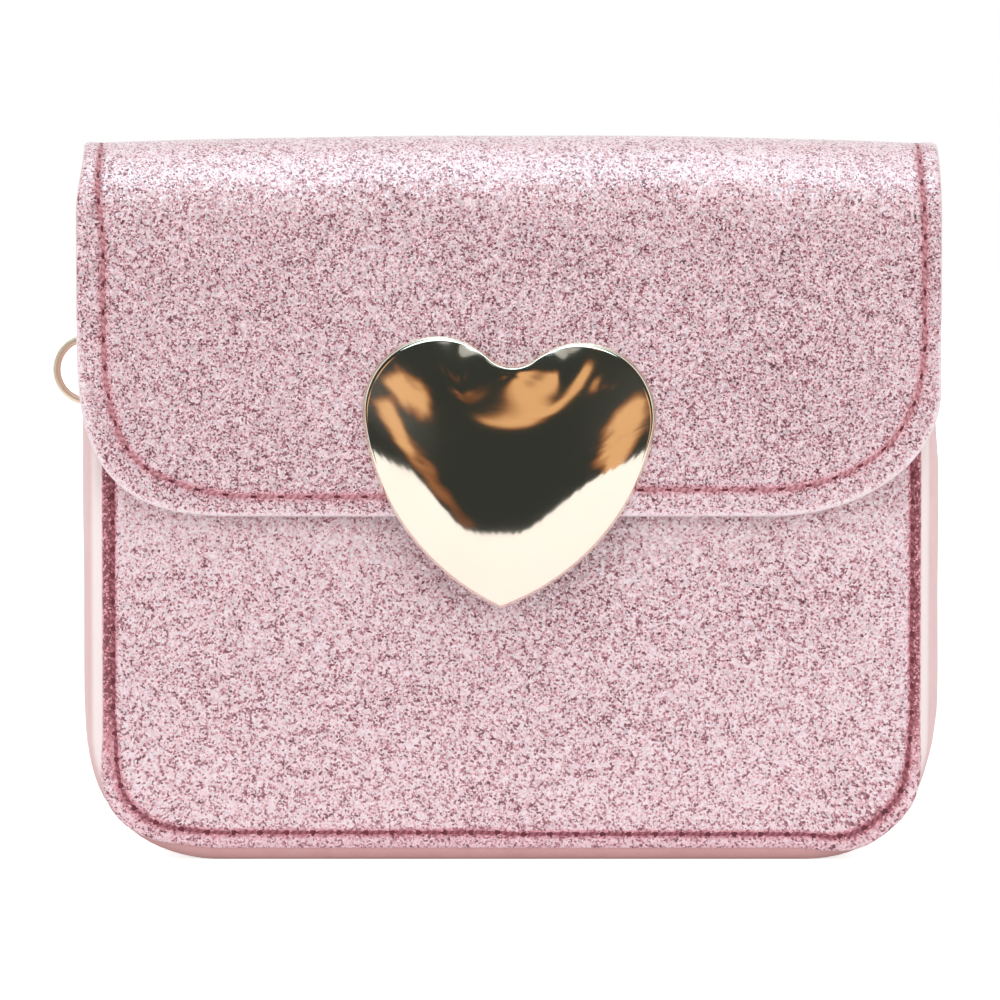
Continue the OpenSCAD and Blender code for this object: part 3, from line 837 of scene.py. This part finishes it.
# Lining of the bag: a sheet on each panel and one round the gusset
def lining_sag(x, z, v, d):
    return -0.16 * (0.6 + 0.4 * ripple(d, v * 4, 7.0)) * smooth(17.0, 11.0, abs(v))


cloth_section = [(-0.6, v, -0.25, v) for v in [-17.2 + 34.4 * i / 30 for i in range(31)]]
gusset_cloth = swept("gusset_lining_cloth", bag_path(GUSSET_TOP - 0.6, 1.8), cloth_section, lining_sag,
                     LINING)
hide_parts("gusset_lining")
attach(gusset_cloth, "bag")


LINING_TOP = GUSSET_TOP + 1.2


def lining_place(way):
    def place(x, t, inset, share, lift):
        y, z, ny, nz = turned(t, way * 17.45, 0.25, LINING_TOP, -way)
        slack = smooth(0, 12, inset) * smooth(0, 10, t)
        off = (0.14 + 0.12 * ripple(x, z, 3 + way)) * slack + lift - share * 0.2
        return (x, y + ny * off, z + nz * off)
    return place


LINING_EDGE = [(4.0, 0, 0.0, 0), (2.0, 0, 0.0, 0), (0.6, 0, 0.0, 0), (0.1, 0, -0.05, 0), (0.0, 0.8, 0.0, 0)]
lining_length, lining_corner = LINING_TOP - 1.9, 17.6
lining_rows = steps(-3.4, lining_length - lining_corner, (-0.8, 0.9), (0.1, 0.13), (999, 1.6))
lining_sides = plate_sides(61.6, lining_rows, lining_length, lining_corner, lining_corner, across=72)
for name, way in (("front", -1.0), ("back", 1.0)):
    inside = rimmed(f"{name}_lining_cloth", lining_sides, LINING_EDGE, lining_place(way), [LINING],
                    flip=way < 0)
    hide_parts(f"{name}_lining")
    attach(inside, "bag")


# Tabs that hold the rings: one strip round the bar, sewn down on the gusset
def tab(name, way):
    bar, wrap, layer = 65.05, 0.9, 0.25
    line = [(64.15, y) for y in (11.0, 8.5, 6.0, 3.0, 1.2)]
    for a in range(180, 421, 12):
        line.append((bar + wrap * math.cos(math.radians(a)), wrap * math.sin(math.radians(a))))
    line += [(65.28, 1.35), (65.02, 2.0), (64.8, 2.8), (64.68, 3.7)]
    line += [(64.65, y) for y in (5.0, 7.0, 9.0, 11.0)]
    half = [(3.5, 0.35), (3.42, 0.8), (3.2, 1.0), (2.6, 1.0), (1.3, 1.0)]
    edge = [(-z, full) for z, full in half] + [(0.0, 1.0)] + half[::-1]
    points, uv, run = [], [], 0.0
    for i, (x, y) in enumerate(line):
        ahead, behind = line[min(i + 1, len(line) - 1)], line[max(i - 1, 0)]
        tx, ty = ahead[0] - behind[0], ahead[1] - behind[1]
        size = math.hypot(tx, ty)
        nx, ny = ty / size, -tx / size
        run += math.hypot(x - line[i - 1][0], y - line[i - 1][1]) if i else 0
        for face in (1, -1):
            for z, full in edge:
                off = face * layer * full
                points.append((way * (x + nx * off), y + ny * off, RING_Z + z))
                uv.append((run, z))
    faces = [(b, c, d, a) if way < 0 else (a, d, c, b) for a, b, c, d in layer_faces(len(line), len(edge))]
    strap = mesh_piece(f"{name}_tab_strip", points, faces, [TAB_LEATHER], uv=uv)
    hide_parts(f"{name}_ring_tab")
    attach(strap, "bag")
    box = [(4.4, -2.3), (10.2, -2.3), (10.2, 2.3), (4.4, 2.3), (4.4, -2.3)]
    path = []
    for (y0, z0), (y1, z1) in zip(box, box[1:]):
        for k in range(12):
            f = k / 12
            spot = Vector((way * 64.88, y0 + (y1 - y0) * f, RING_Z + z0 + (z1 - z0) * f))
            path.append((spot, Vector((way, 0, 0))))
    path.append(path[0])
    for piece in stitches(f"{name}_tab", path, pitch=2.3, width=0.17, sink=0.06, rise=0.22):
        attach(piece, "bag")


tab("left", -1.0)
tab("right", 1.0)


# The polished heart: a flanged rim and a dome blown up from the outline
def heart_outline():
    lobe_r, dx, up, tip, side_r, notch_r = 11.4, 10.75, 8.5, -20.7, 36.0, 5.6
    notch = up + math.sqrt((lobe_r + notch_r) ** 2 - dx ** 2)
    reach = math.hypot(dx, up - tip)
    along = ((side_r - lobe_r) ** 2 - side_r ** 2 + reach ** 2) / (2 * reach)
    across = math.sqrt((side_r - lobe_r) ** 2 - along ** 2)
    to = (-dx / reach, (tip - up) / reach)
    cx, cy = dx + along * to[0] + across * to[1], up + along * to[1] - across * to[0]
    notch_end = math.atan2(up - notch, dx)
    lobe_end = math.atan2(up - cy, dx - cx)
    side_end = math.atan2(tip - cy, -cx)

    def arc(x, y, r, a, b, count):
        return [(x + r * math.cos(a + (b - a) * i / count), y + r * math.sin(a + (b - a) * i / count))
                for i in range(1, count + 1)]

    half = [(0.0, notch - notch_r)] + arc(0, notch, notch_r, -PI / 2, notch_end, 10)
    half += arc(dx, up, lobe_r, notch_end + PI, lobe_end, 64) + arc(cx, cy, side_r, lobe_end, side_end, 46)
    return half + [(-x, y) for x, y in reversed(half[1:-1])]


def blown(points, triangles, fixed):
    """Height of a skin blown up over a flat mesh whose fixed points stay down, from 0 to 1."""
    p, t = np.array(points), np.array(triangles)
    first, second, weight, load = [], [], [], np.zeros(len(p))
    for a, b, c in ((0, 1, 2), (1, 2, 0), (2, 0, 1)):
        e, f = p[t[:, a]] - p[t[:, c]], p[t[:, b]] - p[t[:, c]]
        cross = np.abs(e[:, 0] * f[:, 1] - e[:, 1] * f[:, 0])
        first.append(t[:, a])
        second.append(t[:, b])
        weight.append(0.5 * (e * f).sum(1) / cross)
        load += np.bincount(t[:, a], cross / 6, len(p))
    i, j, w = (np.concatenate(x) for x in (first + second, second + first, weight + weight))
    free = np.ones(len(p))
    free[fixed] = 0.0
    diagonal = np.bincount(i, w, len(p))

    def apply(x):
        return free * (diagonal * x - np.bincount(i, w * x[j], len(p)))

    x = np.zeros(len(p))
    r = free * load
    z = r / diagonal
    d, rz = z.copy(), float(r @ z)
    for _ in range(900):
        q = apply(d)
        step = rz / float(d @ q)
        x += step * d
        r -= step * q
        if float(r @ r) < 1e-16:
            break
        z = r / diagonal
        fresh = float(r @ z)
        d = z + fresh / rz * d
        rz = fresh
    return x / x.max()


def heart():
    """The dome on its rim, in rings from the outline to the middle. Beside the notch it stands higher."""
    span, rim_h, dome_h, shoulder_h = 22.0, 1.38, 4.12, 2.0
    outline = heart_outline()
    n = len(outline)
    rim = [(0.0, -0.2), (0.0, 0.35), (0.05, 0.50), (0.13, 0.66), (0.24, 0.82), (0.37, 0.98), (0.52, 1.14),
           (0.66, 1.27), (0.76, 1.335), (0.82, 1.365), (0.88, rim_h)]
    rings = [(1 - d / span, h) for d, h in rim]
    rings += [(1 - d / span, None) for d in (0.96, 1.1, 1.35, 1.7, 2.1, 2.6, 3.2)]
    last = rings[-1][0]
    rings += [(last * (1 - i / 40), None) for i in range(1, 39)]
    flat = [(x * s, y * s) for s, _ in rings for x, y in outline] + [(0.0, 0.0)]
    faces = []
    for k in range(len(rings) - 1):
        for i in range(n):
            j = (i + 1) % n
            faces.append((k * n + i, (k + 1) * n + i, (k + 1) * n + j, k * n + j))
    middle = len(flat) - 1
    cap = [((len(rings) - 1) * n + i, middle, (len(rings) - 1) * n + (i + 1) % n) for i in range(n)]
    start = len(rim) - 1
    triangles = []
    for a, b, c, d in faces[start * n:]:
        triangles += [(a, b, c), (a, c, d)]
    triangles = [[v - start * n for v in f] for f in triangles + cap]
    lift = blown(flat[start * n:], triangles, list(range(n)))
    notch = min(y for x, y in outline if abs(x) < 0.5 and y > 0)
    tilt = math.radians(2.5)
    points = []
    for index, (x, y) in enumerate(flat):
        shoulder = shoulder_h * smooth(8.5, 0.0, math.hypot(x, y - notch))
        if index >= start * n:
            rise = dome_h * (1 - (1 - float(lift[index - start * n])) ** 1.22)
            h = rim_h + shoulder + rise * (1 - shoulder / dome_h)
        else:
            h = rings[index // n][1] * (1 + shoulder / rim_h)
        points.append((x * math.cos(tilt) + y * math.sin(tilt) - 0.35, FRONT_Y - h,
                       HEART_Z - x * math.sin(tilt) + y * math.cos(tilt)))
    return mesh_piece("heart_dome", points, faces + cap, [HEART_METAL])


dome = heart()
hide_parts("heart_shell")
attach(dome, "flap_front")


# Materials of the model's own nodes
FINISH = {"glitter": GLITTER, "smooth_leather": LEATHER, "board": FIBRE, "lining": LINING,
          "heart_metal": HEART_METAL, "ring_metal": RING_METAL, "snap_metal": SNAP_METAL,
          "steel": STEEL, "magnet": MAGNET}
slots = {row["node"]: row["material_slot"] for row in frame["record"]["subparts"]}
for name, node in frame["nodes"].items():
    node.data.materials.clear()
    node.data.materials.append(FINISH[slots[name]])


# Camera: 0.8 m in front of the flap, a little above the bag's middle. The flap's face, 801.2 mm from the
# lens, comes out at 6.655 pixels a millimetre.
lens = bpy.data.cameras.new("camera")
lens.sensor_width = 36.0
lens.lens = 6.655 * 801.2 / 1000 * 36
lens.clip_start, lens.clip_end = 0.05, 50
camera = new_object("camera", lens)
camera.location = (-1.35 * MM, (FRONT_Y - 800) * MM, 98.45 * MM)
camera.rotation_euler = (PI / 2 - math.atan2(43.3, 800), 0, 0)
scene.camera = camera


# A white studio: floor, soft lamps, and dark screens that only polished metal shows
def stage_mesh(name, points, faces, material, mirrored=False):
    """A piece of the studio, in metres. A mirrored one shows in reflections alone."""
    mesh = bpy.data.meshes.new(name)
    mesh.from_pydata(points, [], faces)
    mesh.materials.append(material)
    obj = new_object(name, mesh)
    if mirrored:
        for rays in ("camera", "diffuse", "shadow", "transmission", "volume_scatter"):
            setattr(obj, "visible_" + rays, False)
    return mesh


def floor_material():
    """White paint that glows for the camera, more with the distance, and in reflections."""
    n = new_material("white_floor")
    rays = n.add("ShaderNodeLightPath")
    away = n.vector("LENGTH", {0: n.place("Object")}, "Value")
    reach = n.add("ShaderNodeMapRange", {"Value": away, "From Min": 0.10, "From Max": 0.55,
                                         "To Min": 0.72, "To Max": 1.0})
    near = n.math("MULTIPLY", (rays, "Is Camera Ray"), (reach, "Result"))
    strength = n.math("MULTIPLY_ADD", (rays, "Is Glossy Ray"), 0.42, near)
    paint = n.add("ShaderNodeBsdfDiffuse", {"Color": (0.82, 0.82, 0.82, 1)})
    glow = n.add("ShaderNodeEmission", {"Strength": strength})
    return n.surface("ShaderNodeAddShader", {0: (paint, 0), 1: (glow, 0)})


stage_mesh("floor", [(-4, -4, 0), (4, -4, 0), (4, 4, 0), (-4, 4, 0)], [(0, 1, 2, 3)], floor_material())

world = Nodes(bpy.data.worlds.new("studio"))
rays = world.add("ShaderNodeLightPath")
seen = world.math("MAXIMUM", (rays, "Is Camera Ray"), (rays, "Is Glossy Ray"))
soft, white = [(world.add("ShaderNodeBackground", {"Color": (1, 1, 1, 1), "Strength": strength}), 0)
               for strength in (0.74, 1.0)]
scene.world = world.surface("ShaderNodeMixShader", {0: seen, 1: soft, 2: white})


def area(name, place, target, width, depth, power):
    lamp = bpy.data.lights.new(name, "AREA")
    lamp.shape = "RECTANGLE"
    lamp.size, lamp.size_y = width, depth
    lamp.energy = power
    obj = new_object(name, lamp)
    obj.location = place
    obj.rotation_euler = (Vector(target) - Vector(place)).to_track_quat("-Z", "Y").to_euler()


area("top_softbox", (0.0, -0.65, 0.95), (0, 0, 0.07), 1.1, 0.5, 0.7)
area("left_softbox", (-0.85, -0.95, 0.25), (0, 0, 0.05), 0.8, 0.8, 3.75)
area("right_softbox", (0.85, -0.95, 0.25), (0, 0, 0.05), 0.8, 0.8, 3.35)


# A screen round the camera, seen by glossy rays alone: dark, with a few warm patches
def screen_material():
    n = new_material("dark_screen")
    warm = (n.add("ShaderNodeAttribute", attribute_name="warm"), "Fac")
    shade = n.ramp(n.math("MULTIPLY_ADD", n.noise(n.place("Object"), 7.0, 3.0), 0.9, warm),
                   [(0.62, (0.034, 0.039, 0.035)), (0.72, (0.18, 0.075, 0.036)),
                    (0.84, (0.40, 0.18, 0.08)), (1.0, (0.80, 0.46, 0.22))])
    return n.surface("ShaderNodeEmission", {"Color": shade})


# Warm patches: azimuth, elevation, half width, half height in degrees, and strength
PATCHES = [(-28, 18, 11, 9, 0.66), (-40, 1, 6, 10, 0.62), (-33, -8, 8, 5, 0.30), (-30, -16, 9, 5, 0.32),
           (-23, -25, 9, 6, 0.33), (1, 17, 5, 3.5, 0.6), (6, 23, 4.5, 4, 0.62), (10, 30, 4, 5, 0.66),
           (12, 35, 3, 4, 0.6), (-4, 27, 3, 2.5, 0.42), (39, 2, 9, 14, 0.66), (46, -11, 6, 6, 0.55),
           (19, 26, 2.5, 4, 0.45)]


def ragged_edge(a):
    """Lower edge of the dark screen in degrees, a little uneven."""
    rise = 17.5 * smooth(26, 44, -a) if a < 0 else 16.5 * smooth(4, 44, a)
    return -30.0 + rise + 0.7 * math.sin(1.3 * a) + 0.5 * math.sin(2.9 * a + 1)


def screen(name, r, sides, low, high, material, patches=()):
    """Part of a ball round the bag. sides, low and high give its edges in degrees. It stops at the floor."""
    points, faces, warmth = [], [], []
    columns, rows = 84, 60
    front, height, floor_gap = -0.031, 0.055, 0.0005
    for j in range(rows + 1):
        for i in range(columns + 1):
            side = sides[0] + (sides[1] - sides[0]) * i / columns
            up = low(side) + (high - low(side)) * j / rows
            a, h = math.radians(side), math.radians(up)
            d = min(r, (height - floor_gap) / math.sin(-h)) if h < 0 else r
            points.append((d * math.sin(a) * math.cos(h), front - d * math.cos(a) * math.cos(h),
                           height + d * math.sin(h)))
            warmth.append(sum(force * math.exp(-(((side - x) / w) ** 2 + ((up - y) / h) ** 2) ** 2)
                              for x, y, w, h, force in patches))
    for j in range(rows):
        for i in range(columns):
            o = j * (columns + 1) + i
            faces.append((o, o + 1, o + columns + 2, o + columns + 1))
    mesh = stage_mesh(name, points, faces, material, mirrored=True)
    mask = mesh.attributes.new("warm", "FLOAT", "POINT")
    mask.data.foreach_set("value", warmth)


card_light = {"Color": (0.68, 0.95, 1.0, 1.0), "Strength": 3.3}
card = new_material("top_card").surface("ShaderNodeEmission", card_light)
screen("dark_screen", 1.1, (-85, 85), ragged_edge, 89, screen_material(), PATCHES)
screen("top_card", 0.9, (-60, 60), lambda a: 52, 105, card)

scene.view_settings.view_transform = "Standard"
